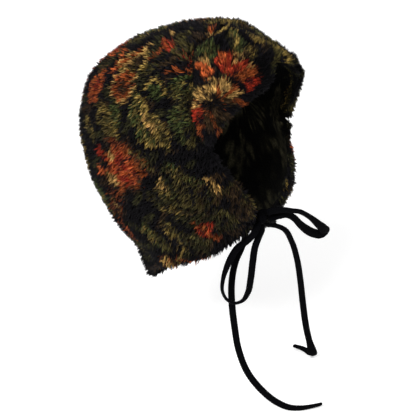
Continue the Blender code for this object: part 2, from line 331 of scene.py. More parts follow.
def cordMaterial():
    material = bpy.data.materials.new("knittedBlackCord")
    material.use_nodes = True
    tree = material.node_tree
    shader = tree.nodes["Principled BSDF"]
    shader.inputs["Roughness"].default_value = tieValues["roughness"]
    shader.inputs["Specular IOR Level"].default_value = tieValues["gloss"]
    inPlace = addNode(material, "ShaderNodeTexCoord")
    fine = addNode(material, "ShaderNodeTexNoise", Scale=tieValues["fibres"], Detail=3.0)
    tree.links.new(inPlace.outputs["Object"], fine.inputs["Vector"])
    tones = addNode(material, "ShaderNodeValToRGB")
    for step, place, share in zip(tones.color_ramp.elements, (0.3, 0.75), tieValues["tones"]):
        step.position = place
        step.color = (*[c * share for c in tieValues["colour"]], 1)
    tree.links.new(fine.outputs["Fac"], tones.inputs["Fac"])
    tree.links.new(tones.outputs["Color"], shader.inputs["Base Color"])
    strength, depth = tieValues["fuzz"]
    bump = addNode(material, "ShaderNodeBump", Strength=strength, Distance=depth)
    tree.links.new(fine.outputs["Fac"], bump.inputs["Height"])
    tree.links.new(bump.outputs["Normal"], shader.inputs["Normal"])
    return material


def fromKnot(direction):
    out = unit(np.array(direction, float))
    near = knotValues["radius"] + knotValues["clearance"]
    middle = np.array(knotValues["place"])
    return [middle + out * near, middle + out * (near + knotValues["lead"])]


def ringCentres(rows):
    rows = smoothLine(rows, 400)
    return smoothLine(rows, round(lineLength(rows) / tieValues["ringSpacing"]))


def freePath(route):
    rows = fromKnot(route["leaves"]) + [np.array(p) for p in route["passes"]]
    if route["returns"]:
        rows += fromKnot(route["returns"])[::-1]
    return ringCentres(rows)


def chinPath(route):
    first, last = fromKnot(route["leaves"])
    sewn = [np.array(p) * (route["side"], 1, 1) for p in sewnIn]
    return ringCentres([first - (last - first), first, *sewn])


def tubeAlong(name, path, material, width, thick, twist=((0, 0), (1, 0)), broad=((0, 1), (1, 1))):
    # a closed flat tube round the path, with the stitches of the knit in its surface
    sides, steady = tieValues["sides"], tieValues["steady"]
    ahead = unit(np.gradient(path, axis=0))
    side = np.cross(ahead[0], tieValues["faces"])
    sideways = []
    for way in ahead:
        wish = np.cross(way, tieValues["faces"])
        wish *= 1 if wish @ side >= 0 else -1
        side = side * steady + wish * (1 - steady)
        side = side - way * (side @ way)
        side = side / np.linalg.norm(side)
        sideways.append(side)
    sideways = np.array(sideways)
    upward = np.cross(ahead, sideways)
    length = runAlong(path)
    share = length / length[-1]
    turn = np.radians(smoothTable(*zip(*twist), share))
    width = width * np.interp(share, *zip(*broad))[:, None]
    around = np.linspace(0, 2 * math.pi, sides, endpoint=False)
    stitch = tieValues["stitchesAround"]
    run = length[:, None] / tieValues["stitchLength"] * 2 * math.pi
    lift = np.sin(stitch * around + run) * np.sin(stitch * around - run)
    swell = 1 - tieValues["knit"] + tieValues["knit"] * lift
    fromEnd = np.minimum(length, length[-1] - length) / (tieValues["endRun"] * thick)
    ends = np.minimum(1, fromEnd + tieValues["endSize"])[:, None]
    across = np.cos(around) * width / 2 * swell * ends
    along = np.sin(around) * thick / 2 * swell * ends
    u = np.cos(turn)[:, None] * across - np.sin(turn)[:, None] * along
    v = np.sin(turn)[:, None] * across + np.cos(turn)[:, None] * along
    rings = path[:, None] + sideways[:, None] * u[..., None] + upward[:, None] * v[..., None]
    vertices = np.concatenate([rings.reshape(-1, 3), path[:1], path[-1:]])
    count = len(path)
    faces = []
    for ring in range(count - 1):
        for k in range(sides):
            after = (k + 1) % sides
            low = ring * sides
            faces.append((low + k, low + after, low + sides + after, low + sides + k))
    first, last = count * sides, count * sides + 1
    for k in range(sides):
        after = (k + 1) % sides
        faces.append((first, after, k))
        faces.append((last, last - 1 - sides + k, last - 1 - sides + after))
    piece = newPiece(name, vertices, faces, material)
    piece.data.shade_smooth()
    return piece


def makeTies(material):
    knot = makeKnot(material)
    for name, route in chinTies.items():
        piece = tubeAlong(name, chinPath(route), material, *tieValues["gathered"])
        finishTie(piece, route["node"])
    for number, (name, route) in enumerate(freeTies.items()):
        path = freePath(route)
        turns = {key: route[key] for key in ("twist", "broad") if key in route}
        piece = tubeAlong(name, path, material, tieValues["width"], tieValues["thick"], **turns)
        finishTie(piece, route["node"])


def finishTie(piece, node):
    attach(piece, "root")
    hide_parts(node)
    return piece


def makeKnot(material):
    # wraps of the same cord round a core, made one body
    middle = Vector(knotValues["place"])
    wrap = tieValues["wrap"] / 2
    reach = knotValues["radius"] - wrap
    parts = []
    for turn in knotValues["turns"]:
        bpy.ops.mesh.primitive_torus_add(
            location=middle, rotation=turn, major_radius=reach, minor_radius=wrap,
            major_segments=36, minor_segments=12)
        parts.append(bpy.context.object)
    core = reach * knotValues["core"]
    bpy.ops.mesh.primitive_uv_sphere_add(segments=24, ring_count=14, radius=core, location=middle)
    parts.append(bpy.context.object)
    activate(parts[0])
    for part in parts:
        part.select_set(True)
    bpy.ops.object.join()
    knot = bpy.context.object
    knot.name = knot.data.name = "bowKnot"
    bpy.ops.object.transform_apply(location=True, rotation=True, scale=True)
    solid = knot.modifiers.new("oneBody", "REMESH")
    solid.mode = "VOXEL"
    solid.voxel_size = knotValues["detail"]
    bpy.ops.object.modifier_apply(modifier=solid.name)
    knot.data.materials.clear()
    knot.data.materials.append(material)
    knot.data.shade_smooth()
    return finishTie(knot, "bow_knot")


makeTies(cordMaterial())
print("ties made")


# The print: blossoms, leaves and brush strokes listed one by one, on a nearly black ground

middlePoint = np.array((0, 0, -0.087))  # in the middle of the hollow, where every motif is aimed from
inks = {
    "ground": (0.0050, 0.0044, 0.0056),
    "umber": (0.050, 0.029, 0.013),
    "olive": (0.086, 0.069, 0.020),
    "moss": (0.038, 0.036, 0.013),
    "green": (0.064, 0.083, 0.024),
    "gold": (0.320, 0.215, 0.055),
    "tan": (0.540, 0.320, 0.098),
    "orange": (0.560, 0.120, 0.032),
    "rust": (0.310, 0.070, 0.017),
    "red": (0.340, 0.030, 0.013),
}
printValues = {
    "softEdge": (9 * mm, 1.9 * mm),  # size and depth of the waves in the outlines
    "fineEdge": (3.2 * mm, 1.1 * mm),
    "fray": {"hood": 1.4 * mm, "brim": 2.2 * mm},  # how far the ink is carried along the pile
    "patchSize": 11 * mm,  # of the moss and umber in the ground
    "grainSize": 2.6 * mm,
    "grain": 0.34,
    "paintedShadePocketSize": 4.5 * mm,  # of the painted shade in the hollows between the tufts
    "bare": 0.12,  # share of the locks that a motif leaves in the ground's colour
}
# around from the front to the right, up, size in mm, turn, petals, tones from the middle to the tips
hoodBlossoms = [
    (97, -21, 33, 10, 7, "umber red orange rust umber"),
    (99, 46, 18, 30, 5, "moss umber umber tan gold"),
    (127, 22, 18, 0, 5, "umber red rust rust orange"),
    (98, 30, 17, 40, 5, "umber umber rust rust tan"),
    (69, 60, 11, 60, 4, "rust red rust red umber"),
    (150, 42, 15, 20, 5, "moss red rust rust orange"),
    (38, -42, 15, 10, 6, "olive rust red umber moss"),
    (69, -66, 9, 0, 5, "rust tan gold tan rust"),
]
# around, up, half length and half width in mm, turn, tones for vein, inside and edge
hoodLeaves = [
    (78, 15, 27, 12, 66, "moss green gold"),
    (68, 12, 24, 9, 52, "moss olive gold"),
    (107, 6, 24, 11, 50, "moss olive gold"),
    (100, 14, 16, 8, 80, "moss green olive"),
    (51, 15, 20, 12, 62, "ground green olive"),
    (45, 8, 13, 8, 85, "ground olive moss"),
    (60, -20, 20, 13, 80, "ground moss green"),
    (48, -24, 22, 14, 60, "ground olive umber"),
    (64, -34, 17, 10, 20, "ground moss olive"),
    (50, -36, 17, 10, -20, "umber moss olive"),
    (28, -22, 20, 7, -30, "umber umber olive"),
    (18, -33, 15, 9, 60, "ground umber olive"),
    (40, 0, 13, 8, 70, "ground ground ground"),
    (48, -4, 22, 7, -20, "ground ground ground"),
    (80, -2, 16, 7, 0, "ground ground ground"),
    (88, -44, 20, 6, 70, "ground ground ground"),
    (137, 33, 16, 10, 30, "moss umber olive"),
    (53, 54, 18, 9, 50, "ground olive olive"),
    (49, 66, 13, 6, 125, "ground olive moss"),
    (51, 32, 15, 9, 40, "olive olive gold"),
    (66, 30, 12, 5, -20, "moss green green"),
    (78, 45, 16, 5, 165, "ground moss olive"),
    (131, 43, 17, 6, 120, "ground moss olive"),
    (135, 58, 17, 6, 128, "ground olive moss"),
    (84, 36, 12, 5, 10, "ground moss moss"),
    (79, -54, 13, 8, -128, "moss green gold"),
    (71, -57, 13, 8, -117, "moss olive green"),
    (58, -48, 13, 7, -164, "umber olive gold"),
    (30, -36, 20, 10, 34, "umber moss olive"),
    (45, -50, 15, 9, 10, "umber moss olive"),
    (127, -4, 18, 8, -140, "ground moss olive"),
    # this row darkens the lobe at the nape: partly the print's dark ground, partly painted shade
    (174, -76, 26, 18, 0, "ground ground ground"),
]
# around, up, half length and half width in mm, turn, tone
hoodStrokes = [
    (104, 51, 20, 3.8, 117, "tan"),
    (95, 42, 14, 3.2, 141, "gold"),
    (106, 50, 12, 1.5, 117, "rust"),
    (112, 42, 9, 3.5, 100, "rust"),
    (114, 44, 6, 2.0, 100, "tan"),
    (99, 38, 11, 2.6, 150, "rust"),
    (75, 36, 10, 2.6, 144, "gold"),
    (64, 34, 12, 2.2, -134, "gold"),
    (70, 33, 8, 2.5, 170, "green"),
    (72, 15, 12, 3.6, -140, "tan"),
    (73, 20, 8, 2.4, -120, "gold"),
    (66, 6, 9, 2.6, -110, "gold"),
    (72, 1, 14, 2.6, -172, "gold"),
    (53, 42, 12, 1.5, -176, "rust"),
    (52, 38, 11, 1.8, 170, "green"),
    (62, 48, 12, 2.2, 150, "umber"),
    (80, 55, 10, 2.0, 130, "rust"),
    (81, 72, 9, 2.4, 30, "tan"),
    (19, 64, 9, 3.0, 158, "rust"),
    (22, 60, 7, 1.8, -179, "tan"),
    (122, 42, 16, 3.0, 60, "orange"),
    (132, 30, 9, 3.0, 70, "rust"),
    (46, -59, 17, 1.4, 148, "rust"),
    (55, -59, 14, 0.9, 111, "gold"),
    (54, -53, 6, 0.9, 31, "gold"),
    (50, -55, 7, 0.9, -142, "olive"),
    (65, -23, 8, 2.0, -112, "tan"),
    (36, -18, 8, 3.0, -147, "tan"),
    (28, -23, 16, 3.0, -160, "umber"),
    (84, -52, 5, 1.8, 137, "tan"),
    (40, -41, 11, 2.6, -147, "rust"),
    (32, -45, 9, 2.4, -140, "rust"),
    (93, -7, 8, 3.5, -152, "rust"),
    (80, -9, 9, 4.0, -172, "umber"),
    (75, -12, 12, 4.0, -123, "olive"),
    (80, -20, 8, 3.5, -163, "rust"),
    (98, -22, 13, 4.5, -159, "orange"),
    (93, -28, 10, 4.0, -173, "red"),
    (118, -26, 9, 4.0, -148, "orange"),
    (115, -17, 8, 3.5, -122, "red"),
    (107, -15, 6, 4.2, -148, "tan"),
    (106, -30, 9, 4.2, -164, "tan"),
    (87, -8, 5, 2.0, -123, "gold"),
]
# the same, but only flecks: most of the ground between them stays
hoodFlecks = [
    (108, -41, 14, 10, -160, "rust"),
    (112, -50, 13, 9, -113, "rust"),
    (108, -44, 8, 5, -130, "tan"),
    (104, -60, 14, 6, -113, "orange"),
    (58, -15, 10, 5, -158, "gold"),
    (64, -27, 9, 5, -143, "gold"),
    (70, -36, 9, 5, -161, "olive"),
    (57, -37, 10, 5, 176, "gold"),
    (45, -18, 10, 5, -164, "green"),
    (52, -24, 20, 9, -171, "ground"),
    (79, -54, 10, 5, -128, "gold"),
    (60, -50, 8, 4, 135, "gold"),
    (59, -56, 7, 3, -174, "gold"),
    (78, 15, 22, 8, 66, "gold"),
    (107, 6, 20, 8, 50, "gold"),
    (51, 15, 17, 7, 62, "olive"),
    (51, 32, 12, 7, 40, "green"),
    (97, -21, 22, 16, 0, "red"),
    (80, -14, 14, 8, 60, "rust"),
    (140, 66, 20, 8, 100, "gold"),
    (48, 48, 10, 4, 170, "red"),
    (127, -4, 16, 7, -140, "gold"),
]
brimBlossoms = [
    (37, 24, 16, 20, 7, "ground ground umber rust umber"),
]
brimLeaves = [
    (33, 49, 12, 10, -104, "moss green green"),
    (44, 50, 8, 5, 90, "ground moss moss"),
    (12, 50, 16, 5, -70, "moss green olive"),
    (10, 42, 9, 5, -75, "umber olive gold"),
    (-1, 43, 20, 6, -78, "moss olive gold"),
    (-10, 40, 20, 7, 95, "moss olive green"),
    (-24, 46, 18, 9, 60, "moss green gold"),
    (-38, 10, 18, 9, 70, "moss olive gold"),
    (-32, 26, 20, 9, 80, "ground moss olive"),
]
brimStrokes = [
    # along the two deep valleys of the pleats: the print's dark ground, and painted shade there
    (11, 33, 15, 8.0, -70, "ground"),
    (-4, 33, 20, 8.0, 95, "ground"),
    # along the pleats' crests: gold and olive in the print's inks, laid as painted highlight on the folds
    (14, 59, 12, 1.5, -21, "gold"),
    (11, 51, 17, 1.2, -66, "gold"),
    (2, 50, 17, 1.5, -87, "gold"),
    (-8, 47, 24, 1.5, -86, "olive"),
    # along the pleats' valleys: the print's dark ground, and painted shade there
    (23, 54, 12, 3.2, -40, "ground"),
    (5, 47, 16, 3.0, -78, "ground"),
    (-7, 44, 22, 2.6, -86, "ground"),
    # along the crest at the brim's peak: gold and olive in the print's inks, laid as painted highlight on
    # the fold
    (4, 36, 10, 2.4, -64, "olive"),
    (1, 31, 10, 2.6, -80, "olive"),
    (2, 33, 8, 1.8, -70, "gold"),
    (39, 39, 10, 6.5, 56, "orange"),
    (37, 43, 7, 2.6, 40, "tan"),
    (27, 41, 11, 6.5, 112, "red"),
    (26, 44, 6, 3.0, 112, "orange"),
    (21, 38, 11, 6.0, 133, "red"),
    (19, 41, 6, 3.0, 133, "tan"),
    (18, 34, 10, 5.0, 152, "rust"),
    (16, 36, 5, 2.4, 152, "tan"),
    (18, 30, 8, 4.5, 165, "red"),
    (33, 35.5, 8, 1.8, 0, "ground"),
    (24, 31.5, 9, 2.4, -135, "ground"),
    (41.5, 27.5, 7.5, 4.2, 39, "tan"),
    (36.5, 30.5, 7, 4.4, 87, "tan"),
    (30.5, 30, 7.5, 4.4, 125, "tan"),
    (27, 26, 7, 3.4, 160, "tan"),
    (33.5, 28.5, 6, 1.5, 105, "rust"),
    (28.5, 27.5, 6, 1.6, 140, "rust"),
    (39, 28.5, 6, 1.2, 62, "umber"),
    (37, 23.5, 8, 5.5, -170, "ground"),
    (33, 20.5, 9, 4.0, -140, "ground"),
    (43, 20, 8, 4.0, -106, "red"),
    (44, 23, 5, 2.4, -60, "tan"),
    (39, 16, 9, 4.0, -111, "umber"),
    (34, 19, 8, 4.0, -133, "umber"),
    (28, 23, 8, 3.5, -163, "umber"),
    (42, 12, 7, 2.4, -100, "rust"),
    (36, 14, 9, 1.5, -120, "rust"),
    (31, 18, 9, 1.5, -140, "umber"),
    (25, 22, 8, 1.6, -160, "rust"),
]
brimFlecks = [
    (-1, 43, 18, 6, -78, "gold"),
    (33, 49, 11, 8, -104, "olive"),
    (36, 17, 13, 7, -125, "umber"),
    (24, 38, 16, 8, 130, "rust"),
    (37, 24, 9, 7, 0, "umber"),
]
motifs = {
    "hood": (hoodBlossoms, hoodLeaves, hoodStrokes, hoodFlecks),
    "brim": (brimBlossoms, brimLeaves, brimStrokes, brimFlecks),
}
scatterValues = {"most": 150, "apart": 0.30, "seed": 11}
blossomTones = ["umber red rust orange tan", "umber rust umber rust tan", "moss red rust red orange"]
leafTones = [
    "moss green gold", "ground moss olive", "umber olive gold", "moss green moss", "ground olive gold",
]


def aim(around, up):
    # the way out from the middle point, by degrees
    around, up = math.radians(around), math.radians(up)
    return np.array((-math.sin(around) * math.cos(up), -math.cos(around) * math.cos(up), math.sin(up)))


def motifAxes(around, up, turn):
    out = aim(around, up)
    level = aim(around + 90, 0)
    upright = np.cross(out, level)
    upright = upright if upright[2] >= 0 else -upright
    turn = math.radians(turn)
    along = level * math.cos(turn) + upright * math.sin(turn)
    across = upright * math.cos(turn) - level * math.sin(turn)
    return out, along, across


def scatterMotifs():
    # the sides that the listed motifs leave free get more of the same, well apart
    rng = np.random.default_rng(scatterValues["seed"])
    taken = [aim(*row[:2]) for row in hoodBlossoms + hoodLeaves + hoodStrokes]
    moreBlossoms, moreLeaves, moreStrokes, moreFlecks = [], [], [], []
    for _ in range(scatterValues["most"] * 20):
        around, up = rng.uniform(-180, 180), math.degrees(math.asin(rng.uniform(-0.97, 0.97)))
        turn, pick, size = rng.uniform(0, 360), rng.random(), rng.uniform(0.8, 1.2)
        here = aim(around, up)
        if min(np.linalg.norm(here - other) for other in taken) < scatterValues["apart"]:
            continue
        taken.append(here)
        if pick < 0.36:
            tones = blossomTones[int(pick * 1000) % len(blossomTones)]
            moreBlossoms.append((around, up, 21 * size, turn, 5 + int(pick * 100) % 2, tones))
        elif pick < 0.8:
            tones = leafTones[int(pick * 1000) % len(leafTones)]
            moreLeaves.append((around, up, 22 * size, 11 * size, turn, tones))
        else:
            moreStrokes.append((around, up, 12 * size, 2.5 * size, turn, "gold" if pick < 0.9 else "rust"))
        moreFlecks.append((around, up, 14 * size, 6 * size, turn + 20, "rust" if pick < 0.36 else "gold"))
        if len(taken) > scatterValues["most"]:
            break
    return moreBlossoms, moreLeaves, moreStrokes, moreFlecks


extra = scatterMotifs()
print("print laid out")


def onMotif(away, reach, around, up, turn):
    # mm along and across a motif, and whether a point is on that side at all
    out, axisA, axisB = motifAxes(around, up, turn)
    return (away @ axisA) * reach / mm, (away @ axisB) * reach / mm, away @ out > 0.5


def paintLeaf(colour, away, reach, luck, row):
    around, up, length, width, turn, tones = row
    a, b, near = onMotif(away, reach, around, up, turn)
    vein, inside, edge = (np.array(inks[t]) for t in tones.split())
    t = np.clip(a / length * 0.5 + 0.5, 0, 1)
    saw = (t * 6) % 1  # six teeth on each edge
    half = width * np.sin(math.pi * t**0.8) ** 0.7 * (0.80 + 0.30 * saw)
    q = np.abs(b) / np.maximum(half, 0.01)
    ribs = (t * 7 - q * 1.1) % 1  # side veins run forward from the middle one
    shade = np.where((ribs > 0.34)[:, None], inside, inside * 0.25 + np.array(inks["ground"]) * 0.6)
    shade = np.where((q < 0.12)[:, None], vein, shade)
    rim = (q > 0.68) & (b > -0.2 * width) & (luck > 0.3) | (luck > 0.93)
    shade = np.where(rim[:, None], edge, shade)
    shown = near & (q < 1) & (t > 0) & (t < 1) & (luck > printValues["bare"])
    colour[shown] = shade[shown]


def paintBlossom(colour, away, reach, luck, row):
    around, up, size, turn, petals, tones = row
    a, b, near = onMotif(away, reach, around, up, turn)
    steps = np.array([inks[t] for t in tones.split()])
    theta = np.arctan2(b, a)
    rho = np.hypot(a, b) / size
    crest = np.abs(np.cos(petals * theta / 2))  # 1 in the middle of a petal, 0 between two
    brush = np.sin(theta * 17 + 3 * np.sin(theta * 5 + up)) * 0.5 + np.sin(theta * 41 + around) * 0.5
    edge = 0.62 + 0.34 * crest**0.7 + 0.07 * brush
    q = rho / edge + (luck - 0.5) * 0.20 + 0.12 * brush
    shade = steps[np.digitize(q, (0.18, 0.42, 0.64, 0.84))]
    gap = ((crest < 0.25) & (q > 0.34) | (brush < -0.72)) & (luck > 0.2)
    shade = np.where(gap[:, None], np.array(inks["ground"]) * 1.5, shade)
    shown = near & (rho < edge) & (luck > 0.14)
    colour[shown] = shade[shown]


def paintStroke(colour, away, reach, luck, row):
    around, up, length, width, turn, tone = row
    a, b, near = onMotif(away, reach, around, up, turn)
    t = np.clip(a / length, -1, 1)
    bow = 0.16 * length * (1 - t**2)  # a brush stroke bends a little
    q = np.abs(b - bow) / (width * np.sqrt(np.maximum(1 - t**2, 1e-4)))
    shown = near & (np.abs(t) < 1) & (q < 1) & (luck > printValues["bare"])
    colour[shown] = inks[tone]


def paintFlecks(colour, away, reach, luck, row):
    around, up, length, width, turn, tone = row
    a, b, near = onMotif(away, reach, around, up, turn)
    dots = np.sin(a * 1.9 + 2 * np.sin(b * 0.9 + up)) + np.sin(b * 2.3 + 2 * np.sin(a * 0.8 + around))
    shown = near & ((a / length) ** 2 + (b / width) ** 2 < 1) & (dots > 0.75) & (luck > 0.3)
    colour[shown] = inks[tone]


def threeRipples(points, size, seed):
    return np.stack([ripple(points, size, seed + k) for k in range(3)], 1)


def printColour(points, comb, panel, seed=1):
    # the print at each point, with outlines that waver and fray along the pile
    rng = np.random.default_rng(seed)
    luck = rng.random(len(points))
    (softSize, softDepth), (fineSize, fineDepth) = printValues["softEdge"], printValues["fineEdge"]
    moved = points + threeRipples(points, softSize, 21) * softDepth
    moved += threeRipples(points, fineSize, 27) * fineDepth
    moved += comb * rng.uniform(-1, 1, (len(points), 1)) * printValues["fray"][panel]
    moved -= middlePoint
    reach = np.linalg.norm(moved, axis=1)
    away = moved / reach[:, None]
    patch = ripple(points, printValues["patchSize"], 31)
    colour = np.tile(np.array(inks["ground"]), (len(points), 1))
    colour[(patch > 0.6) & (luck > 0.35)] = inks["moss"]
    colour[(patch < -0.8) & (luck > 0.5)] = inks["umber"]
    own = motifs[panel]
    spread = extra if panel == "hood" else ([], [], [], [])
    for painter, kind in ((paintLeaf, 1), (paintBlossom, 0), (paintStroke, 2), (paintFlecks, 3)):
        for row in spread[kind] + own[kind]:
            painter(colour, away, reach, luck, row)
    grain = np.clip(ripple(points, printValues["grainSize"], 51), -1, 1)
    colour *= 1 + printValues["grain"] * grain[:, None]
    # painted shade: patches of near-ground colour where the hollows between the tufts lie in shade
    paintedShadePocket = (ripple(points, printValues["paintedShadePocketSize"], 57) < -0.85) & (luck > 0.25)
    colour[paintedShadePocket] = np.array(inks["ground"]) * 1.6
    return colour


# Cloth: the sewn panels, worked from the frame's own solids

combValues = {
    "hoodWay": (0.0, 0.55, -0.85),  # back and down
    "brimMiddle": (37, 24, 0.116),  # around, up and out, where the pile of the brim parts
    "swirl": {"hood": 0.55, "brim": 0.4},
    "swirlSize": 30 * mm,
}
clothValues = {
    "pileDepth": {"hood": 2.6 * mm, "brim": 1.0 * mm},  # how far the cloth lies under the CAD surface
    "brimStep": 2.4 * mm,  # how far the hood lies below the brim at their seam
    "stepFades": (-95 * mm, 30 * mm),  # up from this height, and over how far
    "seamReach": 6 * mm,
    "seamBlend": 5 * mm,
    "loops": 520.0,  # fineness of the knitted backing
    "loopRelief": (0.7, 1 * mm),  # strength and depth
    "loopGapShade": 0.35,  # painted shade between the loops, as a share of the ink
    "gloss": 0.1,
    "roughness": 0.95,
    "sag": 1.3 * mm,
    "sagSize": 34 * mm,
    "liningShadedInk": (0.34, 0.31, 0.17),  # the print shows through the lining dull and nearly of one hue, and darker as painted shade inside the hollow
}
# last adjustments of the drape, all in mm: where, how wide, and the move there
drapes = [
    ((62, -84, -76), 26, (-2, 9, -13)),
    ((0, 42, -270), 13, (1, -1, -9)),
    ((-14, 36, -271), 12, (-3, 3, -5)),
    ((-36, 40, -236), 15, (2, -4, 0)),
    ((46, -92, -164), 17, (4, -2, 0)),
    ((62, -83, -89), 8, (3, -6, 3)),
    ((60, -84, -99), 10, (2, -4, 0)),
    ((38, -68, -2), 18, (-2, 4, -5)),
    ((48, -76, -10), 11, (-2, 4, -3)),
    ((-44, 86, -54), 22, (-1, 2, 2)),
]
# pleats of the brim, and valleys below 0: around, up, half length and width in mm, turn, height in mm
pleats = [
    (14, 59, 18, 2.6, -21, 2.0),
    (11, 51, 22, 2.8, -66, 2.2),
    (2, 50, 22, 2.8, -87, 2.2),
    (-8, 47, 28, 2.8, -86, 2.0),
    (-18, 50, 20, 2.8, -110, 2.0),
    (20, 53, 16, 3.2, -45, -2.0),
    (7, 50, 20, 2.6, -77, -2.4),
    (-3, 48, 22, 2.6, -87, -2.2),
    (3, 34, 18, 2.6, -68, 2.4),
    (11, 33, 15, 7.0, -70, -3.0),
    (-5, 33, 18, 6.0, -95, -2.0),
]


def clothMaterial():
    material = bpy.data.materials.new("printedPlushBacking")
    material.use_nodes = True
    tree = material.node_tree
    shader = tree.nodes["Principled BSDF"]
    shader.inputs["Roughness"].default_value = clothValues["roughness"]
    shader.inputs["Specular IOR Level"].default_value = clothValues["gloss"]
    ink = addNode(material, "ShaderNodeAttribute", attribute_name="ink")
    inPlace = addNode(material, "ShaderNodeTexCoord")
    loops = addNode(material, "ShaderNodeTexVoronoi", Scale=clothValues["loops"])
    tree.links.new(inPlace.outputs["Object"], loops.inputs["Vector"])
    # painted shade: each loop darkens towards its edges, down to the share of the ink between the loops
    tones = addNode(material, "ShaderNodeValToRGB")
    tones.color_ramp.elements[0].color = (1, 1, 1, 1)
    tones.color_ramp.elements[1].color = (*[clothValues["loopGapShade"]] * 3, 1)
    tones.color_ramp.elements[1].position = 0.8
    tree.links.new(loops.outputs["Distance"], tones.inputs["Fac"])
    mix = addNode(material, "ShaderNodeMix", data_type="RGBA", blend_type="MULTIPLY")
    mix.inputs[0].default_value = 1
    tree.links.new(ink.outputs["Color"], mix.inputs[6])
    tree.links.new(tones.outputs["Color"], mix.inputs[7])
    tree.links.new(mix.outputs[2], shader.inputs["Base Color"])
    strength, depth = clothValues["loopRelief"]
    bump = addNode(material, "ShaderNodeBump", Strength=strength, Distance=depth)
    bump.invert = True
    tree.links.new(loops.outputs["Distance"], bump.inputs["Height"])
    tree.links.new(bump.outputs["Normal"], shader.inputs["Normal"])
    return material


def outwardShare(points, normals):
    # 1 on the outside of the cloth, 0 on its inside
    facing = (normals * unit(points - outCentre(points))).sum(1)
    return np.clip(facing * 1.6 + 0.5, 0, 1)


def outCentre(points):
    # the middle of the hollow at each point's own height
    centre = np.zeros_like(points)
    centre[:, 1] = np.clip(points[:, 1], -0.10, 0.02) * 0.55
    centre[:, 2] = np.clip(points[:, 2], -0.21, -0.075)
    return centre


def meshPoints(mesh):
    found = np.empty(len(mesh.vertices) * 3, np.float32)
    mesh.vertices.foreach_get("co", found)
    return found.reshape(-1, 3).astype(float)


def meshNormals(mesh):
    found = np.empty(len(mesh.vertices) * 3, np.float32)
    mesh.vertex_normals.foreach_get("vector", found)
    return found.reshape(-1, 3).astype(float)


def addInk(mesh, colour):
    layer = mesh.color_attributes.new("ink", "FLOAT_COLOR", "POINT")
    rows = np.column_stack([colour, np.ones(len(colour))])
    layer.data.foreach_set("color", rows.astype(np.float32).ravel())


def combWay(points, normals, panel):
    # the way the pile is brushed: back and down over the hood, out from the blossom on the brim
    if panel == "brim":
        around, up, out = combValues["brimMiddle"]
        middle = middlePoint + aim(around, up) * out
        mirrored = points * np.array((-1, 1, 1))
        way = points - middle
        way[points[:, 0] > 0] = ((mirrored - middle) * np.array((-1, 1, 1)))[points[:, 0] > 0]
        way = unit(way)
    else:
        way = np.tile(np.array(combValues["hoodWay"]), (len(points), 1))
    way = way + combValues["swirl"][panel] * threeRipples(points, combValues["swirlSize"], 41)
    return unit(way - normals * (way * normals).sum(1)[:, None])


def pleatLift(points):
    away = points - middlePoint
    reach = np.linalg.norm(away, axis=1)
    away /= reach[:, None]
    lift = np.zeros(len(points))
    for around, up, length, width, turn, height in pleats:
        a, b, near = onMotif(away, reach, around, up, turn)
        lift += near * height * np.exp(-((b / width) ** 2)) * np.clip(1 - (a / length) ** 2, 0, 1)
    return lift


def draped(points):
    moved = points.copy()
    for place, wide, move in drapes:
        near = np.exp(-(((points - np.array(place) * mm) / (wide * mm)) ** 2).sum(1))
        moved += near[:, None] * np.array(move) * mm
    return moved


def distanceTo(mesh, points, reach):
    tree = BVHTree.FromPolygons(meshPoints(mesh).tolist(), [tuple(face.vertices) for face in mesh.polygons])
    found = [tree.find_nearest(point, reach)[3] for point in points]
    return np.array([reach if far is None else far for far in found])


def seamDistance(points, node, reach, others=("brim_panel", "hood_left", "hood_right")):
    # how far each point lies from the panels sewn to this one, up to a reach
    far = np.full(len(points), reach)
    for other in set(others) - {node}:
        far = np.minimum(far, distanceTo(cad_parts[other].data, points, reach))
    return far


def keepSeams(piece, node):
    # seam edges stay sharp in the subdivision, so that the panels still meet
    mesh = piece.data
    onSeam = seamDistance(meshPoints(mesh), node, 0.8 * mm) < 0.6 * mm
    crease = mesh.attributes.new("crease_edge", "FLOAT", "EDGE")
    ends = np.array([tuple(edge.vertices) for edge in mesh.edges])
    crease.data.foreach_set("value", onSeam[ends].all(1).astype(np.float32))


